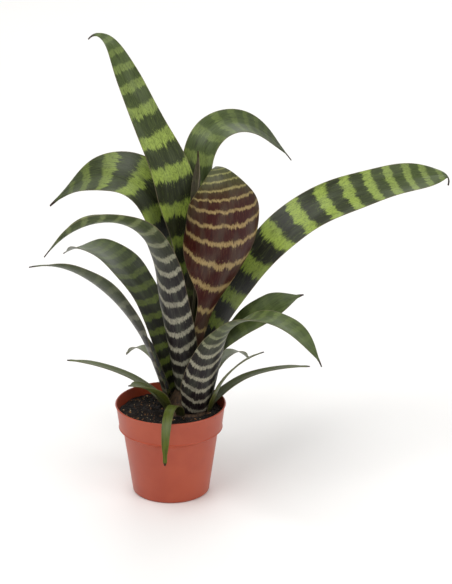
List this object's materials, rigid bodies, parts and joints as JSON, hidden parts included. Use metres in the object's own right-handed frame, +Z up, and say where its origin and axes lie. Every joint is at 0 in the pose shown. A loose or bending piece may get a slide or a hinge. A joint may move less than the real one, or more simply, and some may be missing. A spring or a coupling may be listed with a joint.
{
  "type": "potted bromeliad",
  "caption": "Young banded flaming sword bromeliad in a small terracotta-coloured nursery pot, a rosette of arching strap leaves over dark potting mix, before flowering.",
  "frame": {"origin": "middle of the pot's underside, on the surface that the pot stands on", "axes": "+Z up, -Y the plant's front, +X to the right seen from the front"},
  "size_m": [0.3414, 0.2539, 0.3663],
  "materials": {
    "terracotta_plastic": "satin moulded plastic",
    "potting_mix": "crumbly moist peat",
    "stem_tissue": "fibrous",
    "banded_leaf": "leathery leaf with light cross bands",
    "maroon_leaf": "leathery leaf with gold cross bands",
    "green_leaf": "smooth glossy leaf"
  },
  "bodies": {
    "root": {"pot": "terracotta_plastic", "soil": "potting_mix", "stem": "stem_tissue", "leaf_heart": "banded_leaf", "leaf_tall": "banded_leaf", "leaf_back_right": "banded_leaf", "leaf_left_arch": "banded_leaf", "leaf_back_left": "banded_leaf", "leaf_long_right": "banded_leaf", "leaf_back_low_left": "banded_leaf", "leaf_low_right": "banded_leaf", "leaf_back_low_right": "banded_leaf", "leaf_left_low": "banded_leaf", "leaf_low_front_right": "banded_leaf", "leaf_cup": "maroon_leaf", "leaf_foot_mid": "green_leaf", "leaf_foot_right": "green_leaf", "leaf_foot_front": "green_leaf", "leaf_foot_short": "green_leaf", "leaf_foot_left": "green_leaf", "leaf_foot_back_left": "green_leaf", "leaf_foot_back_right": "green_leaf"}
  },
  "joints": []
}
